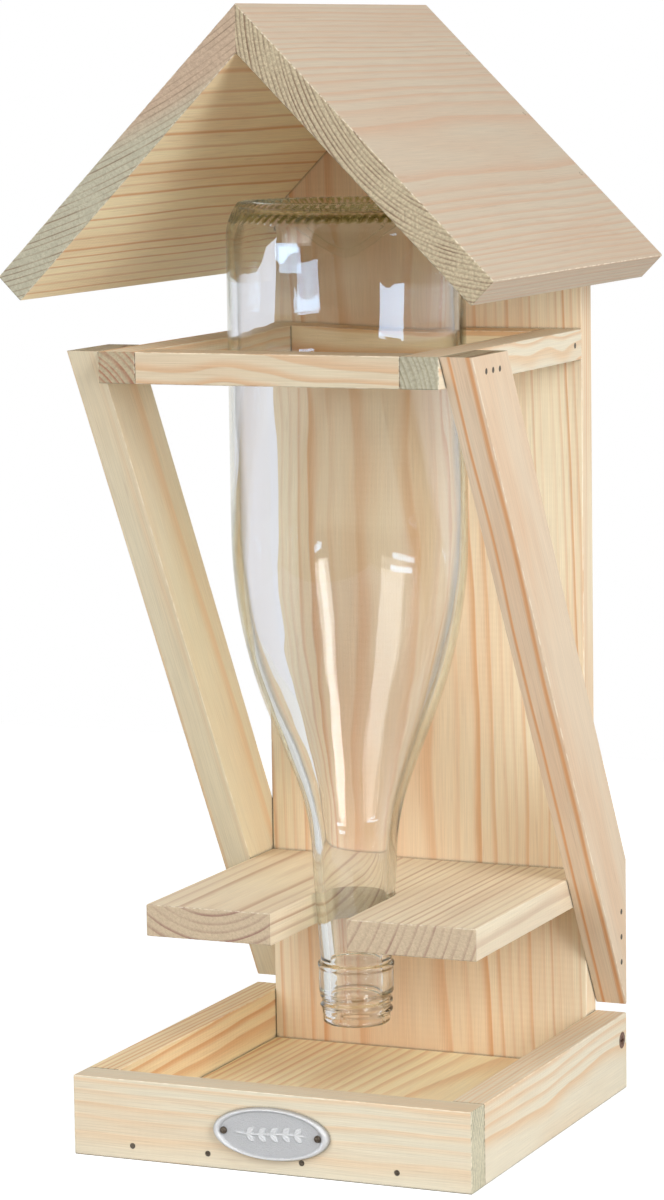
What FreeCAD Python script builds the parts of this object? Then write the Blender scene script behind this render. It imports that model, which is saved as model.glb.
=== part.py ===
"""Wooden bird feeder that holds an upside-down wine bottle of seed over a tray.

Millimetres, +Z up, front towards -Y, origin under the middle of the whole object.
The feeder is sized around the bottle: the collar goes round its body, the shelf's
slot takes its neck, the tray lies under its mouth and the roof clears its base.
"""
import FreeCAD
import Part
import math
import os

# Bottle
bottle_height = 294.0
bottle_radius = 42.0
glass_wall = 3.0
punt_wall = 3.0
heel_arc = 21.0
heel_height = 13.0
base_round = 1.5
punt_radius = 25.0
punt_depth = 17.0
shoulder_cone_angle = 21.5
shoulder_arc = 180.0
neck_arc = 90.0
neck_top_height = 58.0
neck_top_radius = 15.1
neck_low_radius = 12.7
bore_radius = 9.25
lip_radius = 12.05
lip_height = 3.5
lip_round = 1.0
thread_core_radius = 12.3
thread_radius = 13.3
thread_width = 2.2
thread_pitch = 3.3
thread_turns = 2
band_radius = 13.4
band_top = 20.0
bead_radius = 13.75
bead_width = 2.4

# Boards
easing = 0.5
rail_thickness = 12.0
rail_height = 28.5
floor_thickness = 10.0
board_thickness = 10.0
strut_width = 28.0
strut_tip_gap = 3.0
shelf_thickness = 11.5
shelf_reach = 41.5
roof_thickness = 11.5
roof_pitch = 45.0
roof_eave_overhang = 15.5
roof_front_overhang = 11.0
collar_rail_width = 14.0
collar_rail_height = 11.0
collar_setback = 8.0

# Room round the bottle
collar_side_gap = 7.0
collar_front_gap = 13.5
collar_rear_gap = 11.5
collar_drop = 49.0
mouth_gap = 26.5
seat_height = 46.5
seat_clearance = 0.3
lift_travel = 13.0
lift_clearance = 0.6

# Fasteners
hole_clearance = 0.15
nail_shank = 1.3
nail_head = 1.8
nail_head_thickness = 0.8
nail_point = 2.0
nail_bite = 12.0
strut_top_nail_setback = 12.7
strut_top_nail_pitch = 6.2
strut_low_nail_rise = 17.0
strut_low_nail_pitch = 9.4
strut_nail_count = 3
board_nail_span = 80.0
collar_board_nail_span = 50.0
front_nail_left_edge = 10.7
front_nail_right_edge = 15.4
front_nail_left_offset = 23.3
front_nail_right_offset = 12.2
roof_pin_shank = 1.2
roof_pin_edge = 14.0
roof_pin_count = 3
screw_shank = 3.0
screw_head = 6.0
screw_head_depth = 1.7
screw_bite = 18.0
screw_rise = 19.0
cross_length = 3.4
cross_width = 0.8
cross_depth = 1.1

# Badge
badge_width = 43.4
badge_height = 18.2
badge_thickness = 1.4
badge_rim_width = 1.5
badge_rim_height = 0.9
badge_offset = 1.3
badge_rise = 14.4
badge_pin_spacing = 35.4
badge_pin_shank = 1.5
badge_pin_head = 2.6
badge_pin_bite = 8.0

# Widths and depths that follow from the bottle and the stock
collar_inner_half = bottle_radius + collar_side_gap
board_half = collar_inner_half + collar_rail_width
tray_half = board_half + rail_thickness
roof_half = tray_half + roof_eave_overhang
axis_depth = collar_setback + collar_rail_width + collar_front_gap + bottle_radius
board_depth = axis_depth + bottle_radius + collar_rear_gap + collar_rail_width
tray_depth = board_depth + board_thickness
roof_depth = tray_depth + roof_front_overhang

# Places along the depth
back_y = roof_depth / 2
roof_front_y = -roof_depth / 2
tray_front_y = back_y - tray_depth
axis_y = tray_front_y + axis_depth
board_front_y = back_y - board_thickness
board_mid_y = back_y - board_thickness / 2
floor_front_y = tray_front_y + rail_thickness
collar_front_y = tray_front_y + collar_setback
collar_inner_rear_y = board_front_y - collar_rail_width
shelf_front_y = axis_y - shelf_reach

# Places in height
pitch = math.radians(roof_pitch)
mouth_z = floor_thickness + mouth_gap
shelf_top_z = mouth_z + seat_height
shelf_low_z = shelf_top_z - shelf_thickness
shelf_mid_z = shelf_top_z - shelf_thickness / 2
bottle_top_z = mouth_z + bottle_height
collar_top_z = bottle_top_z - collar_drop
collar_low_z = collar_top_z - collar_rail_height
collar_mid_z = collar_top_z - collar_rail_height / 2
heel_line_rise = (heel_arc + lift_clearance) / math.cos(pitch)
heel_reach_rise = (bottle_radius - heel_arc) * math.tan(pitch)
roof_inner_z = bottle_top_z - heel_height + heel_reach_rise + heel_line_rise + lift_travel
ridge_z = roof_inner_z + roof_thickness / math.cos(pitch)
strut_tip_z = rail_height + strut_tip_gap

# Slot that the neck's taper sits in
bead_top = band_top + bead_width
neck_share = (seat_height - bead_top) / (neck_top_height - bead_top)
seat_radius = neck_low_radius + (neck_top_radius - neck_low_radius) * neck_share
slot_half = seat_radius + seat_clearance


def vec(x, y, z):
    return FreeCAD.Vector(x, y, z)


def box(x0, x1, y0, y1, z0, z1):
    return Part.makeBox(x1 - x0, y1 - y0, z1 - z0, vec(x0, y0, z0))


def eased_box(x0, x1, y0, y1, z0, z1):
    """A board with every arris lightly rounded."""
    block = box(x0, x1, y0, y1, z0, z1)
    return block.makeFillet(easing, block.Edges)


def prism(points, direction):
    """A flat outline extruded along a vector."""
    return Part.Face(Part.makePolygon(points + points[:1])).extrude(direction)


def eased_along(solid, direction):
    """Round the arrises that run along one direction."""
    long_edges = []
    for edge in solid.Edges:
        run = (edge.Vertexes[1].Point - edge.Vertexes[0].Point).normalize()
        if abs(run.dot(direction)) > 0.999:
            long_edges.append(edge)
    return solid.makeFillet(easing, long_edges)


def mirrored(solid):
    """The same piece on the other side of the middle plane."""
    return solid.mirror(vec(0, 0, 0), vec(1, 0, 0))


def save(name, shape):
    shape.exportStep("parts/" + name + ".step")


# A fastener is (head place, direction, length); its solid and its hole share those values


def nail(place, direction, length, shank=nail_shank, head=nail_head):
    head_disc = Part.makeCylinder(head / 2, nail_head_thickness, place, direction)
    body = Part.makeCylinder(shank / 2, length - nail_point, place, direction)
    taper = place + direction * (length - nail_point)
    point = Part.makeCone(shank / 2, shank / 8, nail_point, taper, direction)
    return head_disc.fuse(body).fuse(point).removeSplitter()


def nail_hole(place, direction, length, shank=nail_shank, head=nail_head):
    pocket = Part.makeCylinder(head / 2 + hole_clearance, nail_head_thickness, place, direction)
    drill = Part.makeCylinder(shank / 2 + hole_clearance, length + hole_clearance, place, direction)
    return pocket.fuse(drill)


def pin(place, direction, length):
    return nail(place, direction, length, roof_pin_shank, roof_pin_shank)


def pin_hole(place, direction, length):
    return nail_hole(place, direction, length, roof_pin_shank, roof_pin_shank)


def screw(place, direction, length):
    head_cone = Part.makeCone(screw_head / 2, screw_shank / 2, screw_head_depth, place, direction)
    body = Part.makeCylinder(screw_shank / 2, length - screw_shank, place, direction)
    taper = place + direction * (length - screw_shank)
    point = Part.makeCone(screw_shank / 2, screw_shank / 8, screw_shank, taper, direction)
    whole = head_cone.fuse(body).fuse(point)
    deep = place + direction * cross_depth / 2
    for wide_y, wide_z in ((cross_length, cross_width), (cross_width, cross_length)):
        bar = Part.makeBox(cross_depth, wide_y, wide_z)
        bar.translate(deep - vec(cross_depth, wide_y, wide_z) / 2)
        whole = whole.cut(bar)
    return whole


def screw_hole(place, direction, length):
    mouth = screw_head / 2 + hole_clearance
    bore = screw_shank / 2 + hole_clearance
    sink = Part.makeCone(mouth, bore, screw_head_depth, place, direction)
    drill = Part.makeCylinder(bore, length + hole_clearance, place, direction)
    return sink.fuse(drill)


def group(maker, seats):
    return Part.makeCompound([maker(*seat) for seat in seats])


def drilled(solid, maker, seats):
    for seat in seats:
        solid = solid.cut(maker(*seat))
    return solid


def both_sides(seats):
    """Seats on the right side, and the same ones mirrored to the left."""
    mirror = [(vec(-p.x, p.y, p.z), vec(-d.x, d.y, d.z), length) for p, d, length in seats]
    return seats + mirror


# Fastener seats
inward = vec(-1, 0, 0)
backward = vec(0, 1, 0)
forward = vec(0, -1, 0)
strut_nail_length = rail_thickness + nail_bite
slant_run = back_y - collar_front_y
slant_drop = collar_top_z - strut_tip_z
slant = math.atan2(slant_run, slant_drop)

strut_top_row = [strut_top_nail_setback + i * strut_top_nail_pitch for i in range(strut_nail_count)]
strut_top_seats = both_sides([
    (vec(tray_half, collar_front_y + setback, collar_mid_z), inward, strut_nail_length)
    for setback in strut_top_row
])
strut_low_row = [strut_low_nail_rise + i * strut_low_nail_pitch for i in range(strut_nail_count)]
strut_low_seats = both_sides([
    (vec(tray_half, board_mid_y, strut_tip_z + rise), inward, strut_nail_length)
    for rise in strut_low_row
])
collar_nail_length = collar_rail_width + nail_bite
collar_seats = both_sides([
    (vec(board_half, y, collar_mid_z), inward, collar_nail_length)
    for y in (collar_front_y + collar_rail_width / 2, board_front_y - collar_rail_width / 2)
])
screw_seats = both_sides([
    (vec(tray_half, board_mid_y, screw_rise), inward, rail_thickness + screw_bite)
])
front_nail_places = (
    -board_half + front_nail_left_edge,
    -front_nail_left_offset,
    front_nail_right_offset,
    board_half - front_nail_right_edge,
)
front_seats = [
    (vec(x, tray_front_y, floor_thickness / 2), backward, rail_thickness + nail_bite)
    for x in front_nail_places
]
board_nail_length = board_thickness + nail_bite
thirds = (-board_nail_span / 2, 0, board_nail_span / 2)
pair = (-collar_board_nail_span / 2, collar_board_nail_span / 2)
floor_seats = [(vec(x, back_y, floor_thickness / 2), forward, board_nail_length) for x in thirds]
shelf_seats = [(vec(x, back_y, shelf_mid_z), forward, board_nail_length) for x in thirds]
rear_rail_seats = [(vec(x, back_y, collar_mid_z), forward, board_nail_length) for x in pair]
board_seats = floor_seats + shelf_seats + rear_rail_seats

# Roof pins go square through each panel, spaced down the gable's slope
down_slope = vec(math.cos(pitch), 0, -math.sin(pitch))
into_roof = vec(-math.sin(pitch), 0, -math.cos(pitch))
gable_slope = board_half / math.cos(pitch)
pin_step = (gable_slope - 2 * roof_pin_edge) / (roof_pin_count - 1)
gable_top = vec(0, board_mid_y, roof_inner_z) - into_roof * roof_thickness
roof_pin_seats = both_sides([
    (gable_top + down_slope * (roof_pin_edge + i * pin_step), into_roof, roof_thickness + nail_bite)
    for i in range(roof_pin_count)
])
badge_pin_seats = [
    (
        vec(badge_offset + side * badge_pin_spacing / 2, tray_front_y - badge_thickness, badge_rise),
        backward,
        badge_thickness + badge_pin_bite,
    )
    for side in (-1, 1)
]


def make_back_board():
    shoulder_z = roof_inner_z - board_half * math.tan(pitch)
    outline = [
        vec(-board_half, board_front_y, 0),
        vec(board_half, board_front_y, 0),
        vec(board_half, board_front_y, shoulder_z),
        vec(0, board_front_y, roof_inner_z),
        vec(-board_half, board_front_y, shoulder_z),
    ]
    board = eased_along(prism(outline, vec(0, board_thickness, 0)), vec(0, 0, 1))
    board = drilled(board, nail_hole, strut_low_seats + board_seats)
    board = drilled(board, pin_hole, roof_pin_seats)
    return drilled(board, screw_hole, screw_seats)


def make_roof_right():
    eave_z = ridge_z - roof_half * math.tan(pitch)
    inner_eave = vec(roof_half, roof_front_y, eave_z) + into_roof * roof_thickness
    outline = [
        vec(0, roof_front_y, ridge_z),
        vec(roof_half, roof_front_y, eave_z),
        inner_eave,
        vec(0, roof_front_y, roof_inner_z),
    ]
    panel = prism(outline, vec(0, roof_depth, 0))
    off_ridge = [edge for edge in panel.Edges if edge.CenterOfMass.x > easing]
    panel = panel.makeFillet(easing, off_ridge)
    return drilled(panel, pin_hole, roof_pin_seats[:roof_pin_count])


def make_collar_side():
    rail = eased_box(
        collar_inner_half, board_half, collar_front_y, board_front_y, collar_low_z, collar_top_z
    )
    return drilled(rail, nail_hole, collar_seats + strut_top_seats)


def make_collar_cross(y0):
    rail = eased_box(
        -collar_inner_half, collar_inner_half, y0, y0 + collar_rail_width, collar_low_z, collar_top_z
    )
    return drilled(rail, nail_hole, collar_seats + rear_rail_seats)


def make_strut():
    level_width = strut_width / math.cos(slant)
    outline = [
        vec(board_half, collar_front_y, collar_top_z),
        vec(board_half, collar_front_y + level_width, collar_top_z),
        vec(board_half, back_y, strut_tip_z + level_width / math.tan(slant)),
        vec(board_half, back_y, strut_tip_z),
    ]
    along = vec(0, math.sin(slant), -math.cos(slant))
    strut = eased_along(prism(outline, vec(rail_thickness, 0, 0)), along)
    return drilled(strut, nail_hole, strut_top_seats + strut_low_seats)


def make_shelf():
    """Shelf with a slot, open to the front and round at the back, for the neck."""
    shelf = eased_box(-board_half, board_half, shelf_front_y, board_front_y, shelf_low_z, shelf_top_z)
    way_in = box(-slot_half, slot_half, shelf_front_y, axis_y, shelf_low_z, shelf_top_z)
    round_end = Part.makeCylinder(slot_half, shelf_thickness, vec(0, axis_y, shelf_low_z))
    shelf = shelf.cut(way_in.fuse(round_end))
    return drilled(shelf, nail_hole, shelf_seats)


def make_tray_front():
    rail = eased_box(-tray_half, tray_half, tray_front_y, floor_front_y, 0, rail_height)
    rail = drilled(rail, nail_hole, front_seats)
    return drilled(rail, badge_pin_hole, badge_pin_seats)


def make_tray_side():
    rail = eased_box(board_half, tray_half, floor_front_y, back_y, 0, rail_height)
    return drilled(rail, screw_hole, screw_seats)


def make_tray_floor():
    floor = eased_box(-board_half, board_half, floor_front_y, board_front_y, 0, floor_thickness)
    return drilled(floor, nail_hole, front_seats + floor_seats)


def oval(width, height, y, depth):
    ring = Part.Ellipse(vec(width / 2, 0, 0), vec(0, height / 2, 0), vec(0, 0, 0)).toShape()
    slab = Part.Face(Part.Wire([ring])).extrude(vec(0, 0, depth))
    slab.rotate(vec(0, 0, 0), vec(1, 0, 0), 90)
    slab.translate(vec(badge_offset, y, badge_rise))
    return slab


def make_badge():
    """Oval cast plate with a raised rim and a bare field."""
    rim_depth = badge_thickness + badge_rim_height
    outer = oval(badge_width, badge_height, tray_front_y, rim_depth)
    field_y = tray_front_y - badge_thickness
    inner_width = badge_width - 2 * badge_rim_width
    inner_height = badge_height - 2 * badge_rim_width
    plate = outer.cut(oval(inner_width, inner_height, field_y, badge_rim_height))
    return drilled(plate, badge_pin_hole, badge_pin_seats)


def badge_pin(place, direction, length):
    shank = Part.makeCylinder(badge_pin_shank / 2, length, place, direction)
    dome = Part.makeSphere(badge_pin_head / 2, place, direction * -1, 0, 90, 360)
    return shank.fuse(dome).removeSplitter()


def badge_pin_hole(place, direction, length):
    bore = badge_pin_shank / 2 + hole_clearance
    return Part.makeCylinder(bore, length + hole_clearance, place, direction)


def arc(start, middle, end):
    return Part.Arc(start, middle, end).toShape()


def run(points):
    return [Part.makeLine(a, b) for a, b in zip(points, points[1:])]


def on_circle(centre_r, centre_z, radius, angle):
    """Point of the profile plane on a circle; the angle is measured from straight out."""
    return vec(centre_r + radius * math.cos(angle), 0, centre_z + radius * math.sin(angle))


def spread(start, end):
    """Angles of an arc's start, middle and end."""
    return (start, (start + end) / 2, end)


def from_side(angle):
    """An arc that starts upright at the bottle's side and turns in by an angle."""
    return spread(0, angle)


def to_top(angle):
    """An arc that turns on from an angle until it lies flat on the base."""
    return spread(angle, math.pi / 2)


def to_axis(angle):
    """An arc that runs from an angle to the bottle's axis."""
    return spread(angle, -math.pi / 2)


def shoulder(offset):
    """Neck's hollow arc, cone and shoulder's full arc, tangent in turn, set in by an offset."""
    cone = math.radians(shoulder_cone_angle)
    arc_width = (shoulder_arc + neck_arc) * (1 - math.cos(cone))
    cone_height = (bottle_radius - neck_top_radius - arc_width) / math.tan(cone)
    neck_z = neck_top_height
    shoulder_z = neck_z + (shoulder_arc + neck_arc) * math.sin(cone) + cone_height
    hollow = [
        on_circle(neck_top_radius + neck_arc, neck_z, neck_arc + offset, math.pi - a)
        for a in (0, cone / 2, cone)
    ]
    full = [
        on_circle(bottle_radius - shoulder_arc, shoulder_z, shoulder_arc - offset, -a)
        for a in (cone, cone / 2, 0)
    ]
    return [arc(*hollow), Part.makeLine(hollow[2], full[0]), arc(*full)]


def make_bottle():
    """Hollow glass bottle, modelled mouth down with its mouth at height zero."""
    outside = [vec(bore_radius, 0, 0), vec(lip_radius - lip_round, 0, 0)]
    lip = arc(
        outside[-1],
        on_circle(lip_radius - lip_round, lip_round, lip_round, -math.pi / 4),
        vec(lip_radius, 0, lip_round),
    )
    finish = [vec(lip_radius, 0, lip_round), vec(lip_radius, 0, lip_height)]
    thread_slope = thread_radius - thread_core_radius
    for turn in range(thread_turns):
        low = lip_height + turn * thread_pitch
        crest = max(thread_width - 2 * thread_slope, thread_slope / 4)
        finish.append(vec(thread_core_radius, 0, low))
        finish.append(vec(thread_radius, 0, low + (thread_width - crest) / 2))
        finish.append(vec(thread_radius, 0, low + (thread_width + crest) / 2))
        finish.append(vec(thread_core_radius, 0, low + thread_width))
    thread_top = lip_height + thread_turns * thread_pitch
    bead_slope = bead_radius - band_radius
    finish.append(vec(thread_core_radius, 0, thread_top))
    finish.append(vec(band_radius, 0, thread_top + band_radius - thread_core_radius))
    finish.append(vec(band_radius, 0, band_top))
    finish.append(vec(bead_radius, 0, band_top + bead_slope))
    finish.append(vec(bead_radius, 0, bead_top - bead_slope))
    finish.append(vec(neck_low_radius, 0, bead_top))
    finish.append(vec(neck_top_radius, 0, neck_top_height))
    outer_shoulder = shoulder(0)
    inner_shoulder = shoulder(glass_wall)

    heel_r = bottle_radius - heel_arc
    heel_z = bottle_height - heel_height
    round_reach = heel_arc - base_round
    round_angle = math.asin((heel_height - base_round) / round_reach)
    round_r = heel_r + round_reach * math.cos(round_angle)
    round_z = bottle_height - base_round
    inner_heel = heel_arc - glass_wall
    inner_angle = math.asin((heel_height - glass_wall) / inner_heel)
    heel_points = [on_circle(heel_r, heel_z, heel_arc, a) for a in from_side(round_angle)]
    round_points = [on_circle(round_r, round_z, base_round, a) for a in to_top(round_angle)]
    inner_heel_points = [on_circle(heel_r, heel_z, inner_heel, a) for a in from_side(inner_angle)]

    dome_radius = (punt_radius ** 2 + punt_depth ** 2) / (2 * punt_depth)
    dome_z = bottle_height - punt_depth + dome_radius
    rim_angle = -math.acos(punt_radius / dome_radius)
    inner_dome = dome_radius + punt_wall
    trough_z = bottle_height - glass_wall
    trough_angle = -math.asin((dome_z - trough_z) / inner_dome)
    punt_points = [on_circle(0, dome_z, dome_radius, a) for a in to_axis(rim_angle)]
    inner_punt_points = [on_circle(0, dome_z, inner_dome, a) for a in to_axis(trough_angle)]

    edges = run(outside) + [lip] + run(finish) + outer_shoulder
    edges += run([outer_shoulder[-1].Vertexes[-1].Point, heel_points[0]])
    edges += [arc(*heel_points), arc(*round_points)]
    edges += run([round_points[2], punt_points[0]])
    edges += [arc(*punt_points)]
    edges += run([punt_points[2], inner_punt_points[2]])
    edges += [arc(*inner_punt_points)]
    edges += run([inner_punt_points[0], inner_heel_points[2]])
    edges += [arc(*inner_heel_points)]
    edges += run([inner_heel_points[0], inner_shoulder[-1].Vertexes[-1].Point])
    edges += inner_shoulder
    inner_neck = inner_shoulder[0].Vertexes[0].Point
    edges += run([inner_neck, vec(bore_radius, 0, bead_top), outside[0]])
    wire = Part.Wire(Part.sortEdges(edges)[0])
    bottle = Part.Face(wire).revolve(vec(0, 0, 0), vec(0, 0, 1), 360)
    bottle.translate(vec(0, axis_y, mouth_z))
    return bottle


def main():
    os.makedirs("parts", exist_ok=True)
    roof_right = make_roof_right()
    collar_right = make_collar_side()
    strut_right = make_strut()
    tray_right = make_tray_side()
    save("back_board", make_back_board())
    save("roof_right", roof_right)
    save("roof_left", mirrored(roof_right))
    save("collar_right", collar_right)
    save("collar_left", mirrored(collar_right))
    save("collar_front", make_collar_cross(collar_front_y))
    save("collar_rear", make_collar_cross(collar_inner_rear_y))
    save("strut_right", strut_right)
    save("strut_left", mirrored(strut_right))
    save("shelf", make_shelf())
    save("tray_front", make_tray_front())
    save("tray_right", tray_right)
    save("tray_left", mirrored(tray_right))
    save("tray_floor", make_tray_floor())
    save("badge", make_badge())
    save("bottle", make_bottle())
    save("badge_pins", group(badge_pin, badge_pin_seats))
    save("tray_front_nails", group(nail, front_seats))
    save("tray_screws", group(screw, screw_seats))
    save("strut_top_nails", group(nail, strut_top_seats))
    save("strut_low_nails", group(nail, strut_low_seats))
    save("collar_nails", group(nail, collar_seats))
    save("board_nails", group(nail, board_seats))
    save("roof_pins", group(pin, roof_pin_seats))


main()
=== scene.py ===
"""Looks of the wooden feeder: pine boards, small nails, a cast oval plate and a clear bottle."""

import math

import bpy
import numpy as np
from mathutils import Matrix, Vector


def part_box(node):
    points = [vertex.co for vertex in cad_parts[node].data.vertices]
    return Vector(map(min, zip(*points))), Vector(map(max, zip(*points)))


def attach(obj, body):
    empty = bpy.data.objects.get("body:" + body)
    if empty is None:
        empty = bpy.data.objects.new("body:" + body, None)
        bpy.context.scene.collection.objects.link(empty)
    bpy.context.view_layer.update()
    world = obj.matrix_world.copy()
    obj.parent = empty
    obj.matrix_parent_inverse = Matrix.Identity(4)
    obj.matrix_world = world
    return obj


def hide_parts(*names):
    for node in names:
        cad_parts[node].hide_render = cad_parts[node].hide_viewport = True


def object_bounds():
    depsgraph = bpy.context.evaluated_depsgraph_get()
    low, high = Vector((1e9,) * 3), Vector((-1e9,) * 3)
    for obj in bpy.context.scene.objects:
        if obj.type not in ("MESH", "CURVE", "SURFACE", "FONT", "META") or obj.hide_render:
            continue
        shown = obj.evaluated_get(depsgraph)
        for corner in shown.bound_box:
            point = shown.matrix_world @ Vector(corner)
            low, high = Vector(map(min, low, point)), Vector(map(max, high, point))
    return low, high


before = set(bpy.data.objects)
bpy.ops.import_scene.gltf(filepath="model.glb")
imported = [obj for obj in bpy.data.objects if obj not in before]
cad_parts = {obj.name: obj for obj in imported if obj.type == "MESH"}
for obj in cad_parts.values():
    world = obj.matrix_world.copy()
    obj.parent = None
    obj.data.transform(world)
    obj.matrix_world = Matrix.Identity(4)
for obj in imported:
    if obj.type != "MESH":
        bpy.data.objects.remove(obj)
cad_low, cad_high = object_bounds()

MM = 0.001


def shade(red, green, blue):
    """Linear colour of a 0 to 255 display colour, with full opacity."""
    parts = []
    for part in (red, green, blue):
        share = part / 255
        parts.append(share / 12.92 if share <= 0.04045 else ((share + 0.055) / 1.055) ** 2.4)
    return (*parts, 1.0)


class Wiring:
    """Makes nodes in one tree; most methods give the output socket of the node they make."""

    def __init__(self, tree):
        self.tree = tree

    def node(self, kind, **settings):
        made = self.tree.nodes.new(kind)
        for name, value in settings.items():
            setattr(made, name, value)
        return made

    def feed(self, socket, value):
        if isinstance(value, bpy.types.NodeSocket):
            self.tree.links.new(value, socket)
        else:
            socket.default_value = value

    def feed_all(self, made, values):
        for socket, value in zip(made.inputs, values):
            self.feed(socket, value)
        return made.outputs[0]

    def math(self, operation, *values):
        return self.feed_all(self.node("ShaderNodeMath", operation=operation), values)

    def times(self, first, second):
        return self.math("MULTIPLY", first, second)

    def plus(self, first, second):
        return self.math("ADD", first, second)

    def vector(self, operation, *values):
        return self.feed_all(self.node("ShaderNodeVectorMath", operation=operation), values)

    def stretch(self, vector, factors):
        return self.vector("MULTIPLY", vector, factors)

    def scaled(self, vector, factor):
        made = self.node("ShaderNodeVectorMath", operation="SCALE")
        self.feed(made.inputs["Scale"], factor)
        return self.feed_all(made, (vector,))

    def length(self, vector):
        made = self.node("ShaderNodeVectorMath", operation="LENGTH")
        self.feed(made.inputs[0], vector)
        return made.outputs["Value"]

    def split(self, vector):
        made = self.node("ShaderNodeSeparateXYZ")
        self.feed(made.inputs[0], vector)
        return made.outputs

    def join(self, x, y, z):
        return self.feed_all(self.node("ShaderNodeCombineXYZ"), (x, y, z))

    def step(self, value, low, high, start=0.0, end=1.0):
        """Smooth step from start to end while the value goes from low to high."""
        made = self.node("ShaderNodeMapRange", interpolation_type="SMOOTHSTEP")
        return self.feed_all(made, (value, low, high, start, end))

    def between(self, share, first, second):
        """Number that goes from the first to the second as the share goes from 0 to 1."""
        made = self.node("ShaderNodeMix", data_type="FLOAT")
        for index, value in ((0, share), (2, first), (3, second)):
            self.feed(made.inputs[index], value)
        return made.outputs[0]

    def blend(self, share, first, second, mode="MIX"):
        """Colour that goes from the first to the second as the share goes from 0 to 1."""
        made = self.node("ShaderNodeMix", data_type="RGBA", blend_type=mode)
        for index, value in ((0, share), (6, first), (7, second)):
            self.feed(made.inputs[index], value)
        return made.outputs[2]

    def dimmed(self, colour, factor):
        return self.blend(1.0, colour, self.join(factor, factor, factor), "MULTIPLY")

    def noise(self, place, detail=2.0, roughness=0.5):
        """Noise of one unit's grain; gives the node's outputs, first the value, then the colour."""
        made = self.node("ShaderNodeTexNoise")
        values = {"Vector": place, "Scale": 1.0, "Detail": detail, "Roughness": roughness}
        for name, value in values.items():
            self.feed(made.inputs[name], value)
        return made.outputs

    def bump(self, height, distance):
        made = self.node("ShaderNodeBump")
        self.feed(made.inputs["Height"], height)
        self.feed(made.inputs["Distance"], distance)
        return made.outputs[0]


def surface_material(name):
    """A material with a bare shader; gives the material, its wiring and the shader's inputs."""
    material = bpy.data.materials.new(name)
    material.use_nodes = True
    shader = material.node_tree.nodes["Principled BSDF"]
    return material, Wiring(material.node_tree), shader.inputs


def object_place(wiring):
    """The point on the piece in millimetres."""
    where = wiring.node("ShaderNodeTexCoord").outputs["Object"]
    return wiring.scaled(where, 1 / MM)


# Pine, in millimetres measured from the tree's heart: x and y across the rings, z along the grain

PINE_INPUTS = (
    ("place", "Vector"),
    ("facing", "Vector"),
    ("ring width", "Float"),
    ("waviness", "Float"),
    ("wave length", "Float"),
    ("lean", "Vector"),
    ("seed", "Float"),
    ("early wood", "Color"),
    ("late wood", "Color"),
    ("end grain", "Color"),
    ("end rings", "Color"),
    ("contrast", "Float"),
    ("evenness", "Float"),
    ("late start", "Float"),
    ("heartwood reach", "Float"),
    ("tearing", "Float"),
    ("knot place", "Vector"),
)
PINE_OUTPUTS = (("colour", "Color"), ("roughness", "Float"), ("height", "Float"))
KNOT_SIZE = 3.0
PLANER_PITCH = 2.6
WANDER_WIDTH = 70.0
SHIVER_WIDTH = 9.0
SHIVER_LENGTH = 45.0
SHIVER_SHARE = 0.12
HALF = (0.5, 0.5, 0.5)
HEARTWOOD_FADE = 5.0
HEARTWOOD_PINK = shade(188, 142, 116)
RESIN = shade(158, 100, 56)
KNOT_BROWN = shade(140, 90, 52)
ARRIS_CREAM = shade(246, 234, 212)


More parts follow.
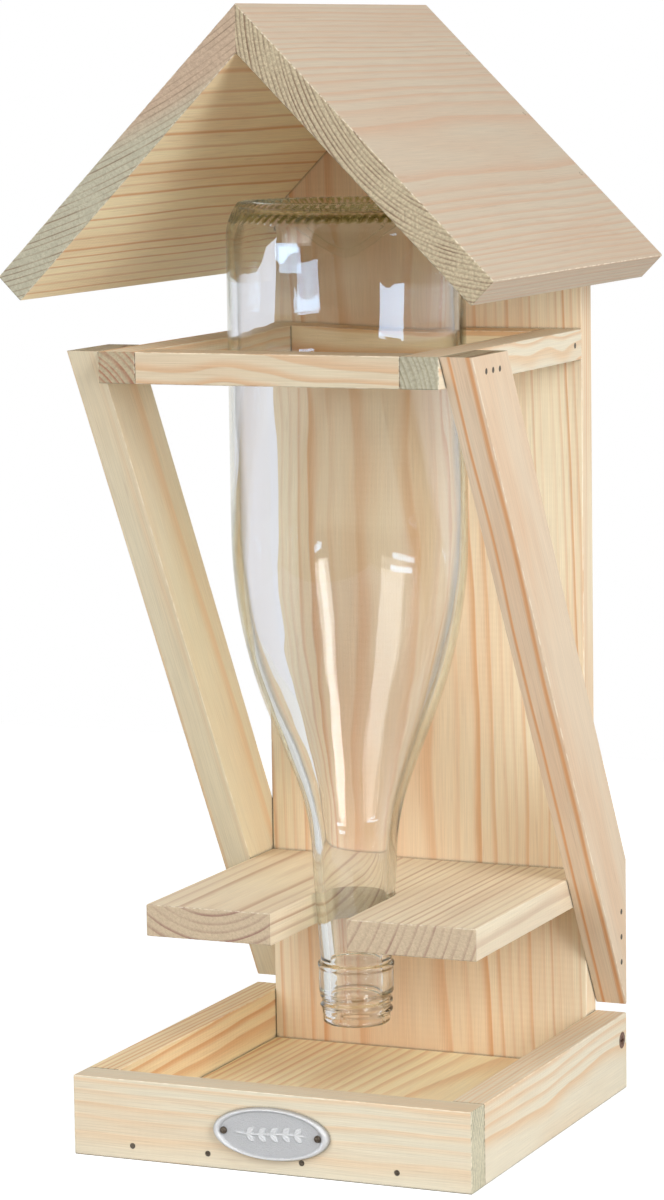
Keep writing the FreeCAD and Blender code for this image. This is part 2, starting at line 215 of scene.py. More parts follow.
def pine_group():
    """Rings are the whole part of the distance from a wavering heart line, over the ring width.

    Each ring goes from pale early wood to a narrow orange late band with a sharp end, and the wood near
    the heart is warmer. Fibres are noise drawn out along the grain. Cut ends are rough and pitted, and
    arrises pale and rubbed.
    """
    tree = bpy.data.node_groups.new("pine grain", "ShaderNodeTree")
    for direction, sockets in (("INPUT", PINE_INPUTS), ("OUTPUT", PINE_OUTPUTS)):
        for name, kind in sockets:
            tree.interface.new_socket(name, in_out=direction, socket_type="NodeSocket" + kind)
    wiring = Wiring(tree)
    given = wiring.node("NodeGroupInput").outputs
    place = given["place"]
    along = wiring.split(place)[2]
    seeded = wiring.vector("ADD", place, wiring.scaled((137.0, 71.0, 211.0), given["seed"]))

    # Slow wander of the heart line, and a finer shiver on top
    waves_per_mm = wiring.math("DIVIDE", 1.0, given["wave length"])
    slow = wiring.stretch(seeded, wiring.join(1 / WANDER_WIDTH, 1 / WANDER_WIDTH, waves_per_mm))
    quick = wiring.stretch(seeded, (1 / SHIVER_WIDTH, 1 / SHIVER_WIDTH, 1 / SHIVER_LENGTH))
    wander = wiring.vector("SUBTRACT", wiring.noise(slow)[1], HALF)
    shiver = wiring.vector("SUBTRACT", wiring.noise(quick)[1], HALF)
    bends = wiring.vector("ADD", wander, wiring.scaled(shiver, SHIVER_SHARE))
    sway = wiring.scaled(bends, given["waviness"])
    heart = wiring.vector("ADD", wiring.vector("ADD", place, sway), wiring.scaled(given["lean"], along))
    distance = wiring.length(wiring.stretch(heart, (1.0, 1.0, 0.0)))

    # A knot pushes the rings aside
    from_knot = wiring.stretch(wiring.vector("SUBTRACT", place, given["knot place"]), (1.0, 1.0, 0.4))
    knot_reach = wiring.length(from_knot)
    push = wiring.step(knot_reach, 0.0, 3 * KNOT_SIZE, 2.6, 0.0)
    knot = wiring.step(knot_reach, 0.4 * KNOT_SIZE, KNOT_SIZE, 0.8, 0.0)

    # Rings of uneven width and strength
    years = wiring.math("DIVIDE", distance, given["ring width"])
    drift = wiring.noise(wiring.join(wiring.times(years, 0.35), given["seed"], 0.0), detail=1.0)[0]
    count = wiring.plus(wiring.plus(years, wiring.times(drift, 1.6)), push)
    phase = wiring.math("FRACT", count)
    luck = wiring.node("ShaderNodeTexWhiteNoise", noise_dimensions="2D")
    wiring.feed(luck.inputs["Vector"], wiring.join(wiring.math("FLOOR", count), given["seed"], 0.0))
    uneven = wiring.plus(wiring.times(wiring.math("POWER", luck.outputs["Value"], 1.4), 0.85), 0.15)
    strength = wiring.between(given["evenness"], uneven, 1.0)
    rise = wiring.step(phase, given["late start"], 0.86)
    fall = wiring.step(phase, 0.89, 1.0, 1.0, 0.0)
    band = wiring.times(wiring.times(rise, fall), strength)

    # Fibres, resin flecks and broad changes of tone
    fine = wiring.noise(wiring.stretch(seeded, (2.4, 2.4, 0.045)), detail=3.0)[0]
    resin = wiring.noise(wiring.stretch(seeded, (0.9, 0.9, 0.05)), detail=1.0)[0]
    fleck = wiring.step(resin, 0.66, 0.76, 0.0, 0.1)
    tone = wiring.noise(wiring.stretch(seeded, (1 / 16, 1 / 16, 1 / 110)))[0]

    # Long-grain colour
    within = wiring.math("SUBTRACT", given["heartwood reach"], distance)
    heartwood = wiring.step(within, -HEARTWOOD_FADE, HEARTWOOD_FADE)
    warmth = wiring.plus(wiring.step(tone, 0.35, 0.72, 0.0, 0.25), wiring.times(heartwood, 0.25))
    warm = wiring.blend(warmth, given["early wood"], given["late wood"])
    rings = wiring.blend(wiring.times(band, given["contrast"]), warm, given["late wood"])
    fibred = wiring.dimmed(rings, wiring.step(fine, 0.25, 0.75, 0.93, 1.05))
    long_grain = wiring.blend(knot, wiring.blend(fleck, fibred, RESIN), KNOT_BROWN)

    # End grain: darker rings, open pores and the saw's tearing
    pore = wiring.noise(wiring.stretch(seeded, (1.0, 1.0, 0.5)), detail=4.0, roughness=0.75)[0]
    end_band = wiring.times(wiring.times(rise, fall), wiring.step(tone, 0.3, 0.6, 0.35, 1.0))
    end_ground = wiring.blend(wiring.times(heartwood, 0.45), given["end grain"], HEARTWOOD_PINK)
    end_rings = wiring.blend(wiring.times(end_band, strength), end_ground, given["end rings"])
    torn = wiring.between(given["tearing"], 1.0, wiring.step(pore, 0.3, 0.7, 0.68, 1.22))
    end_colour = wiring.dimmed(end_rings, torn)

    # Which way the surface faces: along the grain, square across it, or on a rubbed arris
    facing = wiring.split(wiring.vector("ABSOLUTE", given["facing"]))
    cut_end = wiring.step(facing[2], 0.28, 0.5)
    squarest = wiring.math("MAXIMUM", wiring.math("MAXIMUM", facing[0], facing[1]), facing[2])
    edge_on = wiring.step(facing[0], 0.15, 0.4)
    off_square = wiring.times(edge_on, wiring.step(squarest, 0.82, 0.99, 1.0, 0.0))
    chip = wiring.step(wiring.noise(wiring.stretch(seeded, (0.7, 0.7, 0.25)))[0], 0.40, 0.62, 0.0, 0.65)
    faces = wiring.blend(cut_end, long_grain, end_colour)

    # Planing leaves faint ripples; late wood stands a little proud
    ripple = wiring.math("SINE", wiring.times(along, 2 * math.pi / PLANER_PITCH))
    planed = wiring.times(wiring.times(ripple, tone), 0.12)
    side_height = wiring.plus(wiring.plus(fine, wiring.times(band, 0.5)), planed)
    height = wiring.between(cut_end, side_height, wiring.times(pore, 2.4))
    worn = wiring.step(fine, 0.2, 0.8, 0.55, 0.72)

    result = wiring.node("NodeGroupOutput").inputs
    wiring.feed(result["colour"], wiring.blend(wiring.times(off_square, chip), faces, ARRIS_CREAM))
    wiring.feed(result["roughness"], wiring.math("SUBTRACT", worn, wiring.times(band, 0.08)))
    wiring.feed(result["height"], height)
    return tree


RIGHT = Vector((1, 0, 0))
BACK = Vector((0, 1, 0))
UP = Vector((0, 0, 1))
FRONT = -BACK
SLOPE_RIGHT = (RIGHT + UP).normalized()
SLOPE_LEFT = (UP - RIGHT).normalized()
STRUT_SLANT = math.radians(30.5)
DOWN_STRUT = Vector((0, math.sin(STRUT_SLANT), -math.cos(STRUT_SLANT)))
FAR_OFF = (0.0, 0.0, 1e4)
JOINT_REACH = 1.8
JOINT_SHADE = 0.3
GRAIN_DEPTH = 0.12

CREAM = shade(232, 221, 197)
BOARD_CREAM = shade(240, 224, 194)
FLOOR_CREAM = shade(250, 238, 200)
PINK_CREAM = shade(224, 203, 176)
YELLOW_CREAM = shade(244, 227, 186)
GREY_CREAM = shade(226, 213, 184)
SHELF_CREAM = shade(237, 223, 195)
TRAY_CREAM = shade(220, 209, 185)
ROOF_BEIGE = shade(204, 188, 165)
COLLAR_CREAM = shade(206, 192, 165)
PEACH = shade(226, 184, 138)
COLLAR_PEACH = shade(200, 160, 122)
ORANGE = shade(214, 152, 98)
DUSKY_PINK = shade(202, 164, 134)
DUSKY_BROWN = shade(186, 146, 118)
END_GREEN = shade(174, 160, 132)
END_TAN = shade(186, 171, 142)
END_GREY = shade(176, 170, 148)
END_PALE = shade(214, 206, 178)
END_PINK = shade(198, 178, 150)
END_BROWN = shade(138, 106, 80)
END_DARK = shade(112, 82, 60)
END_RED = shade(158, 108, 82)
END_DULL = shade(132, 112, 90)
END_MAUVE = shade(150, 114, 100)
END_OLIVE = shade(146, 138, 112)

# What a board has where its own line does not say otherwise
PLAIN_BOARD = dict(
    wave=4.0, wave_length=150.0, lean=(0.0, 0.0), contrast=0.9, evenness=0.2, late_start=0.35,
    heartwood=0.0, tearing=0.5, joint=JOINT_SHADE, knot=FAR_OFF, end=END_GREEN, end_rings=END_BROWN,
)

# Per board, in millimetres: how it was sawn from its tree, how its rings run, and its colours
BOARDS = {
    "back_board": dict(
        thick=FRONT, grain=UP, heart=(-100, -14), ring=1.8, early=BOARD_CREAM, late=ORANGE, wave=3.0,
        lean=(0.0, 0.03), contrast=0.75, evenness=0.0, late_start=0.45, heartwood=110.0,
    ),
    "roof_right": dict(
        thick=SLOPE_RIGHT, grain=BACK, heart=(74, 2), ring=1.5, early=ROOF_BEIGE, late=DUSKY_PINK,
        wave=2.0, contrast=0.75, evenness=0.5, end=END_TAN, end_rings=END_DARK, tearing=1.0,
        knot=(36, -52, -45),
    ),
    # The heartwood reach warms the underside near the ridge: partly painted shade where the ridge lies in
    # shade, partly the reddish zone that the end grain has
    "roof_left": dict(
        thick=SLOPE_LEFT, grain=BACK, heart=(300, 116), ring=2.0, early=YELLOW_CREAM, late=ORANGE,
        wave=1.5, contrast=0.8, evenness=0.3, late_start=0.66, heartwood=318.0, end=END_GREY,
        end_rings=END_DULL,
    ),
    "collar_front": dict(
        thick=FRONT, grain=RIGHT, heart=(-40, -8), ring=1.0, early=COLLAR_CREAM, late=COLLAR_PEACH,
        wave=3.0, wave_length=60.0, contrast=0.8, evenness=0.8,
    ),
    # Painted light: the rear rail's pale cream and its heartwood warmth stand in for light on a rail that
    # lies in shade behind the bottle
    "collar_rear": dict(
        thick=FRONT, grain=RIGHT, heart=(-20, -9), ring=3.0, early=FLOOR_CREAM, late=ORANGE,
        heartwood=60.0,
    ),
    "collar_left": dict(
        thick=RIGHT, grain=BACK, heart=(-24, 26), ring=2.2, early=CREAM, late=PEACH, end_rings=END_RED,
        evenness=0.6,
    ),
    "collar_right": dict(
        thick=RIGHT, grain=BACK, heart=(-40, 16), ring=1.8, early=CREAM, late=PEACH, wave=8.0,
        wave_length=70.0, evenness=0.6, end=END_GREY, end_rings=END_OLIVE,
    ),
    "strut_left": dict(
        thick=RIGHT, grain=DOWN_STRUT, heart=(-60, 6), ring=7.0, early=GREY_CREAM, late=PEACH,
        contrast=0.6, late_start=0.6,
    ),
    "strut_right": dict(
        thick=RIGHT, grain=DOWN_STRUT, heart=(-94, -6), ring=6.5, early=PINK_CREAM, late=ORANGE, wave=3.5,
        wave_length=110.0, evenness=0.9, late_start=0.7,
    ),
    "shelf": dict(
        thick=UP, grain=BACK, heart=(32, -38), ring=3.2, early=SHELF_CREAM, late=DUSKY_BROWN, wave=2.5,
        end=END_PINK, end_rings=END_MAUVE, tearing=0.3, joint=0.75, contrast=0.75, late_start=0.5,
    ),
    "tray_front": dict(
        thick=FRONT, grain=RIGHT, heart=(-60, 20), ring=1.6, early=TRAY_CREAM, late=PEACH, wave=2.5,
        wave_length=90.0, contrast=0.5, evenness=0.4, end=END_PALE, end_rings=END_OLIVE,
    ),
    "tray_left": dict(
        thick=RIGHT, grain=BACK, heart=(-50, 14), ring=2.0, early=YELLOW_CREAM, late=ORANGE, wave=4.0,
        lean=(0.01, 0.06), contrast=0.8, evenness=0.6,
    ),
    "tray_right": dict(
        thick=RIGHT, grain=BACK, heart=(-50, 14), ring=1.8, early=CREAM, late=PEACH, wave=5.0,
        lean=(0.0, 0.03), evenness=0.5,
    ),
    "tray_floor": dict(
        thick=UP, grain=BACK, heart=(-50, 35), ring=3.2, early=FLOOR_CREAM, late=ORANGE,
        lean=(0.03, 0.0), contrast=0.6, evenness=0.4,
    ),
}


def dress_board(node, seed, grain_tree, board):
    """Turns the pine so that its grain runs along the board, with the tree's heart where it was sawn.

    Painted shade darkens the joints: the colour is dimmed where little of the surroundings is open to the
    surface.
    """
    axes = Matrix((board["thick"], board["grain"].cross(board["thick"]), board["grain"]))
    low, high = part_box(node)
    heart = Vector((*board["heart"], 0))
    material, wiring, shader = surface_material("pine " + node)
    where = wiring.node("ShaderNodeTexCoord").outputs
    place = wiring.node("ShaderNodeMapping", vector_type="POINT")
    facing = wiring.node("ShaderNodeMapping", vector_type="VECTOR")
    for mapping, source in ((place, where["Object"]), (facing, where["Normal"])):
        wiring.feed(mapping.inputs["Vector"], source)
        mapping.inputs["Rotation"].default_value = axes.to_euler()
    place.inputs["Scale"].default_value = (1 / MM,) * 3
    place.inputs["Location"].default_value = -(axes @ (low + high) / 2) / MM - heart
    grain = wiring.node("ShaderNodeGroup", node_tree=grain_tree)
    values = {
        "place": place.outputs[0],
        "facing": facing.outputs[0],
        "ring width": board["ring"],
        "waviness": board["wave"],
        "wave length": board["wave_length"],
        "lean": (*board["lean"], 0.0),
        "seed": float(seed),
        "early wood": board["early"],
        "late wood": board["late"],
        "end grain": board["end"],
        "end rings": board["end_rings"],
        "contrast": board["contrast"],
        "evenness": board["evenness"],
        "late start": board["late_start"],
        "heartwood reach": board["heartwood"],
        "tearing": board["tearing"],
        "knot place": Vector(board["knot"]) - heart,
    }
    for name, value in values.items():
        wiring.feed(grain.inputs[name], value)
    # Painted shade: ambient occlusion dims the colour near other parts, in the joints and in the shelf's
    # slot
    open_share = wiring.node("ShaderNodeAmbientOcclusion", samples=4)
    open_share.inputs["Distance"].default_value = JOINT_REACH * MM
    painted_joint_shade = wiring.step(open_share.outputs["AO"], 0.3, 0.8, board["joint"], 1.0)
    wiring.feed(shader["Base Color"], wiring.dimmed(grain.outputs["colour"], painted_joint_shade))
    wiring.feed(shader["Roughness"], grain.outputs["roughness"])
    wiring.feed(shader["Normal"], wiring.bump(grain.outputs["height"], GRAIN_DEPTH * MM))
    shader["Specular IOR Level"].default_value = 0.3
    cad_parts[node].material_slots[0].material = material


# Metal and glass

PROUD = "proud"
CAST_GREY = shade(194, 195, 197)
CAST_BRIGHT = shade(219, 220, 222)
KNURLS = 72
KNURL_ROWS = ((-1.0, 1.4), (4.0, 6.4))
KNURL_SOFT = 0.6
KNURL_LOW_RADIUS = 32.0
KNURL_LEAN = 6.0
GLASS_CLEAR = (0.985, 0.985, 0.99, 1.0)
GLASS_OLIVE = (0.50, 0.51, 0.26, 1.0)
GLASS_PASSING = (0.993, 0.993, 0.985, 1.0)
GLASS_DEPTH = (0.52, 0.74, 0.42, 1.0)
GLASS_DENSITY = 10.0
WALL_BEND = 1.5
HEEL_BEND = 1.2
HEEL_FADE = (7.0, 14.0)
HOLLOW_BEND = 1.01
HOLLOW_SIDE_FADE = (31.0, 35.0)
HOLLOW_DEPTH_FADE = (24.0, 30.0)
RIM_CLEAR = 0.65
RIM_FADE = (0.6, 0.85)
RIM_LOW_FADE = (200.0, 235.0)


def nail_material(name, dark, light):
    """Metal that has dulled: two tones mixed by coarse noise, with a fine hammered grain."""
    material, wiring, shader = surface_material(name)
    place = object_place(wiring)
    patch = wiring.noise(wiring.scaled(place, 1.3), detail=3.0)[0]
    grain = wiring.noise(wiring.scaled(place, 6.0))[0]
    colour = wiring.blend(wiring.step(patch, 0.3, 0.7), dark, light)
    wiring.feed(shader["Base Color"], colour)
    wiring.feed(shader["Roughness"], wiring.step(patch, 0.2, 0.8, 0.42, 0.65))
    wiring.feed(shader["Normal"], wiring.bump(grain, 0.03 * MM))
    shader["Metallic"].default_value = 0.7
    return material


def cast_material():
    """Tumbled cast metal: bright where the relief stands proud, grey and grainy in the hollows."""
    material, wiring, shader = surface_material("cast metal")
    place = object_place(wiring)
    grain = wiring.noise(wiring.scaled(place, 2.2), detail=4.0, roughness=0.65)[0]
    proud = wiring.node("ShaderNodeAttribute", attribute_name=PROUD).outputs["Fac"]
    polish = wiring.plus(proud, wiring.step(grain, 0.2, 0.8, -0.25, 0.25))
    colour = wiring.blend(wiring.step(polish, 0.0, 0.9), CAST_GREY, CAST_BRIGHT)
    wiring.feed(shader["Base Color"], colour)
    wiring.feed(shader["Roughness"], wiring.step(polish, 0.0, 0.9, 0.6, 0.35))
    wiring.feed(shader["Normal"], wiring.bump(grain, 0.3 * MM))
    shader["Metallic"].default_value = 0.7
    return material


def glass_material():
    """Clear bottle glass with a faint olive depth; its skin carries a slow ripple and light dust.

    The two knurled rows round the base are scuffed, so rougher, and painted olive: a painted reflection of
    the wood seen in the heel. The heel bends light less than the walls, and the hollow base hardly at all,
    so that it does not show. Light on its way to the wood goes straight through, and so does part of a
    glancing look above the neck, which keeps outlines pale.
    """
    material, wiring, shader = surface_material("bottle glass")
    place = object_place(wiring)
    low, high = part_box("bottle")
    middle = (low + high) / 2
    from_base = wiring.vector("SUBTRACT", place, Vector((middle.x, middle.y, high.z)) / MM)
    x, y, above = wiring.split(from_base)
    below = wiring.times(above, -1.0)
    radius = wiring.length(wiring.join(x, y, 0.0))
    rows = 0.0
    for start, end in KNURL_ROWS:
        begun = wiring.step(below, start - KNURL_SOFT, start)
        unended = wiring.step(below, end, end + KNURL_SOFT, 1.0, 0.0)
        rows = wiring.math("MAXIMUM", rows, wiring.times(begun, unended))
    turns = wiring.times(wiring.math("ARCTAN2", y, x), KNURLS)
    outward = wiring.plus(wiring.math("SUBTRACT", radius, KNURL_LOW_RADIUS), below)
    slant = wiring.times(outward, 2 * math.pi / KNURL_LEAN)
    groove = wiring.step(wiring.math("COSINE", wiring.plus(turns, slant)), -0.6, 0.6, 1.0, 0.0)
    scuff_and_painted_olive = wiring.times(rows, groove)
    ripple = wiring.noise(wiring.stretch(place, (1 / 14, 1 / 14, 1 / 40)), detail=1.0)[0]
    dust = wiring.noise(wiring.scaled(place, 1.5), detail=4.0)[0]
    dusty = wiring.step(dust, 0.5, 0.8, 0.0, 0.03)
    # Painted reflection: the olive base colour in the knurl grooves stands in for the wood mirrored in the
    # heel; the added roughness is the real scuffing
    wiring.feed(shader["Base Color"], wiring.blend(scuff_and_painted_olive, GLASS_CLEAR, GLASS_OLIVE))
    wiring.feed(shader["Roughness"], wiring.plus(dusty, wiring.times(scuff_and_painted_olive, 0.2)))
    wiring.feed(shader["Normal"], wiring.bump(ripple, 0.25 * MM))
    shader["Transmission Weight"].default_value = 1.0

    # How much each zone bends light
    heel = wiring.step(below, *HEEL_FADE, 1.0, 0.0)
    near_axis = wiring.step(radius, *HOLLOW_SIDE_FADE, 1.0, 0.0)
    hollow = wiring.times(near_axis, wiring.step(below, *HOLLOW_DEPTH_FADE, 1.0, 0.0))
    bend = wiring.between(hollow, wiring.between(heel, WALL_BEND, HEEL_BEND), HOLLOW_BEND)
    wiring.feed(shader["IOR"], bend)

    # Rays that go straight through
    ray = wiring.node("ShaderNodeLightPath").outputs
    lighting = wiring.math("MAXIMUM", ray["Is Shadow Ray"], ray["Is Diffuse Ray"])
    glancing = wiring.node("ShaderNodeLayerWeight").outputs["Facing"]
    above_neck = wiring.step(below, *RIM_LOW_FADE, 1.0, 0.0)
    rim = wiring.times(wiring.step(glancing, *RIM_FADE, 0.0, RIM_CLEAR), above_neck)
    straight = wiring.math("MAXIMUM", lighting, rim)
    clear = wiring.node("ShaderNodeBsdfTransparent")
    clear.inputs["Color"].default_value = GLASS_PASSING
    body = wiring.node("ShaderNodeVolumeAbsorption")
    body.inputs["Color"].default_value = GLASS_DEPTH
    body.inputs["Density"].default_value = GLASS_DENSITY
    nodes = material.node_tree.nodes
    pick = wiring.node("ShaderNodeMixShader")
    wiring.feed_all(pick, (straight, nodes["Principled BSDF"].outputs[0], clear.outputs[0]))
    wiring.feed(nodes["Material Output"].inputs["Surface"], pick.outputs[0])
    wiring.feed(nodes["Material Output"].inputs["Volume"], body.outputs[0])
    return material


# Meshes from rings of points

def ring_object(name, rings, material):
    """Skins rings of points in turn; the first and last ring are drawn together to one point each.

    rings has the shape (ring, place round it, 3), in metres.
    """
    count, around, _ = rings.shape
    poles = rings[[0, -1]].mean(axis=1)
    body = rings[1:-1].reshape(-1, 3)
    points = np.concatenate([body, poles])
    index = np.arange((count - 2) * around).reshape(count - 2, around)
    ahead = np.roll(index, -1, axis=1)
    quads = np.stack([index[:-1], index[1:], ahead[1:], ahead[:-1]], axis=-1).reshape(-1, 4)
    first = np.full(around, len(body))
    last = first + 1
    caps = np.concatenate([
        np.stack([first, index[0], ahead[0]], axis=-1),
        np.stack([last, ahead[-1], index[-1]], axis=-1),
    ])
    mesh = bpy.data.meshes.new(name)
    mesh.from_pydata(points.tolist(), [], quads.tolist() + caps.tolist())
    mesh.polygons.foreach_set("use_smooth", np.ones(len(mesh.polygons), bool))
    mesh.materials.append(material)
    piece = bpy.data.objects.new(name, mesh)
    bpy.context.scene.collection.objects.link(piece)
    return piece


def line(start, end, count):
    """Points on a straight run, without its end."""
    share = np.linspace(0, 1, count, endpoint=False)[:, None]
    return (1 - share) * np.array(start) + share * np.array(end)


def arc(centre, radius, start, end, count):
    """Points on a circle from one angle to another, without its end."""
    angle = np.linspace(start, end, count, endpoint=False)
    return np.stack([centre[0] + radius * np.cos(angle), centre[1] + radius * np.sin(angle)], axis=1)


# Bottle: radius and height in millimetres, mouth down at height zero

HEIGHT = 294.0
RADIUS = 42.0
WALL = 3.0
HEEL_ARC = 21.0
HEEL_HEIGHT = 13.0
BASE_ROUND = 1.5
PUNT_RADIUS = 25.0
PUNT_DEPTH = 17.0
PUNT_WALL = 3.0
PUNT_TIP = 5.0
BASE_WALL = 3.2
TROUGH_RADIUS = 26.0
CONE = math.radians(21.5)
SHOULDER_ARC = 180.0
NECK_ARC = 90.0
NECK_TOP = (15.1, 58.0)
NECK_LOW_RADIUS = 12.7
BORE = 9.25
LIP_RADIUS = 12.05
LIP_HEIGHT = 3.5
LIP_ROUND = 1.0
THREAD_CORE = 12.3
THREAD_RISE = 0.8
THREAD_START = 4.6
THREAD_PITCH = 3.3
THREAD_TURNS = 1.8
THREAD_WIDTH = 0.8
BAND_LOW = 11.2
BAND_RADIUS = 13.4
BAND_TOP = 20.0
BEAD_RADIUS = 13.75
BEAD_TOP = 22.4
KNURL_RISE = 0.5
KNURL_SHIFT = 0.7
WAVER = 0.22
BODY_ROWS = 0.22
FINISH_ROWS = 2.2
FINISH_END = 32.0
FINISH_FADE = 6.0
BASE_ROWS = 1.1
BASE_START = 268.0
BASE_FADE = 8.0
AROUND = 4 * KNURLS
CORNER_SOFTNESS = 0.7
INSIDE_FINENESS = 0.5
QUARTER = math.pi / 2


def shoulder_run(offset):
    """Neck's hollow arc, straight cone and full shoulder arc, each tangent to the next.

    The whole run is set in from the outside of the glass by the offset.
    """
    arc_width = (SHOULDER_ARC + NECK_ARC) * (1 - math.cos(CONE))
    cone_height = (RADIUS - NECK_TOP[0] - arc_width) / math.tan(CONE)
    shoulder_z = NECK_TOP[1] + (SHOULDER_ARC + NECK_ARC) * math.sin(CONE) + cone_height
    hollow = arc((NECK_TOP[0] + NECK_ARC, NECK_TOP[1]), NECK_ARC + offset, math.pi, math.pi - CONE, 40)
    full = arc((RADIUS - SHOULDER_ARC, shoulder_z), SHOULDER_ARC - offset, -CONE, 0, 60)
    return np.concatenate([hollow, full, [[RADIUS - offset, shoulder_z]]])


def hollow_base(edge_radius, edge_depth, tip_depth):
    """The hollow base from its tip on the axis out to its edge: a hyperbola, so a cone with a round tip."""
    radius = np.linspace(0, edge_radius, 40, endpoint=False)
    share = (np.hypot(radius, PUNT_TIP) - PUNT_TIP) / (math.hypot(edge_radius, PUNT_TIP) - PUNT_TIP)
    return np.stack([radius, HEIGHT - tip_depth + (tip_depth - edge_depth) * share], axis=1)


def outer_profile():
    """Outside of the glass, from the tip of the hollow base to the mouth."""
    round_reach = HEEL_ARC - BASE_ROUND
    round_angle = math.asin((HEEL_HEIGHT - BASE_ROUND) / round_reach)
    round_centre = (RADIUS - HEEL_ARC + round_reach * math.cos(round_angle), HEIGHT - BASE_ROUND)
    return np.concatenate([
        hollow_base(PUNT_RADIUS, 0, PUNT_DEPTH),
        line((PUNT_RADIUS, HEIGHT), (round_centre[0], HEIGHT), 6),
        arc(round_centre, BASE_ROUND, QUARTER, round_angle, 10),
        arc((RADIUS - HEEL_ARC, HEIGHT - HEEL_HEIGHT), HEEL_ARC, round_angle, 0, 30),
        line((RADIUS, HEIGHT - HEEL_HEIGHT), shoulder_run(0)[-1], 20),
        shoulder_run(0)[::-1],
        line(NECK_TOP, (NECK_LOW_RADIUS, BEAD_TOP), 20),
        line((NECK_LOW_RADIUS, BEAD_TOP), (BEAD_RADIUS, BEAD_TOP - 0.4), 4),
        line((BEAD_RADIUS, BEAD_TOP - 0.4), (BEAD_RADIUS, BAND_TOP + 0.4), 6),
        line((BEAD_RADIUS, BAND_TOP + 0.4), (BAND_RADIUS, BAND_TOP), 4),
        line((BAND_RADIUS, BAND_TOP), (BAND_RADIUS, BAND_LOW), 12),
        line((BAND_RADIUS, BAND_LOW), (THREAD_CORE, BAND_LOW - 0.9), 6),
        line((THREAD_CORE, BAND_LOW - 0.9), (THREAD_CORE, LIP_HEIGHT), 20),
        line((THREAD_CORE, LIP_HEIGHT), (LIP_RADIUS, LIP_HEIGHT - 0.2), 2),
        line((LIP_RADIUS, LIP_HEIGHT - 0.2), (LIP_RADIUS, LIP_ROUND), 6),
        arc((LIP_RADIUS - LIP_ROUND, LIP_ROUND), LIP_ROUND, 0, -QUARTER, 8),
        line((LIP_RADIUS - LIP_ROUND, 0), (BORE + LIP_ROUND, 0), 6),
        arc((BORE + LIP_ROUND, LIP_ROUND), LIP_ROUND, -QUARTER, -math.pi, 8),
        [[BORE, LIP_ROUND]],
    ])


def inner_profile():
    """Inside of the glass, from the mouth to the tip of the hollow base."""
    shoulder = shoulder_run(WALL)
    heel_reach = HEEL_ARC - WALL
    heel_angle = math.asin((HEEL_HEIGHT - BASE_WALL) / heel_reach)
    trough_edge = RADIUS - HEEL_ARC + heel_reach * math.cos(heel_angle)
    punt = hollow_base(TROUGH_RADIUS, BASE_WALL, PUNT_DEPTH + PUNT_WALL)
    return np.concatenate([
        line((BORE, LIP_ROUND), (BORE, BEAD_TOP), 10),
        line((BORE, BEAD_TOP), shoulder[0], 16),
        shoulder,
        line(shoulder[-1], (RADIUS - WALL, HEIGHT - HEEL_HEIGHT), 20),
        arc((RADIUS - HEEL_ARC, HEIGHT - HEEL_HEIGHT), heel_reach, 0, heel_angle, 24),
        line((trough_edge, HEIGHT - BASE_WALL), (TROUGH_RADIUS, HEIGHT - BASE_WALL), 8),
        punt[::-1],
    ])


def rows_per_mm(points):
    """How close the rings lie: closest on the finish, close on the base, wide on the plain body."""
    height = points[:, 1]
    finish = np.clip((FINISH_END - height) / FINISH_FADE, 0, 1)
    base = np.clip((height - BASE_START) / BASE_FADE, 0, 1)
    return BODY_ROWS + FINISH_ROWS * finish + BASE_ROWS * base


def even_rows(points, fineness):
    """Rounds a profile's corners with a running mean, then spaces its points by the wanted rows."""
    run = np.concatenate([[0], np.cumsum(np.hypot(*np.diff(points, axis=0).T))])
    fine_step = 0.1
    fine = np.arange(0, run[-1], fine_step)
    traced = np.stack([np.interp(fine, run, points[:, i]) for i in (0, 1)], axis=1)
    reach = int(CORNER_SOFTNESS / fine_step)
    weights = np.hanning(2 * reach + 3)[1:-1]
    padded = np.concatenate([
        2 * traced[0] - traced[reach:0:-1],
        traced,
        2 * traced[-1] - traced[-2:-reach - 2:-1],
    ])
    smooth = np.stack([np.convolve(padded[:, i], weights / weights.sum(), "valid") for i in (0, 1)], axis=1)
    rows = np.cumsum(rows_per_mm(smooth)) * fine_step * fineness
    wanted = np.linspace(rows[0], rows[-1], int(rows[-1]))
    return np.stack([np.interp(wanted, rows, smooth[:, i]) for i in (0, 1)], axis=1)


def window(value, low, high, soft):
    """One between low and high, falling smoothly to nothing over a soft width outside."""
    share = np.clip(np.minimum(value - low, high - value) / soft + 1, 0, 1)
    return share * share * (3 - 2 * share)


def thread_height(height, turn):
    """A ridge round the finish whose height above the mouth climbs one pitch each turn."""
    laps = np.round((height - THREAD_START) / THREAD_PITCH - turn)
    climbed = laps + turn
    off_crest = (height - THREAD_START - THREAD_PITCH * climbed) / THREAD_WIDTH
    lasting = window(climbed, 0.0, THREAD_TURNS, 0.12)
    return THREAD_RISE * lasting * np.exp(-off_crest ** 2)


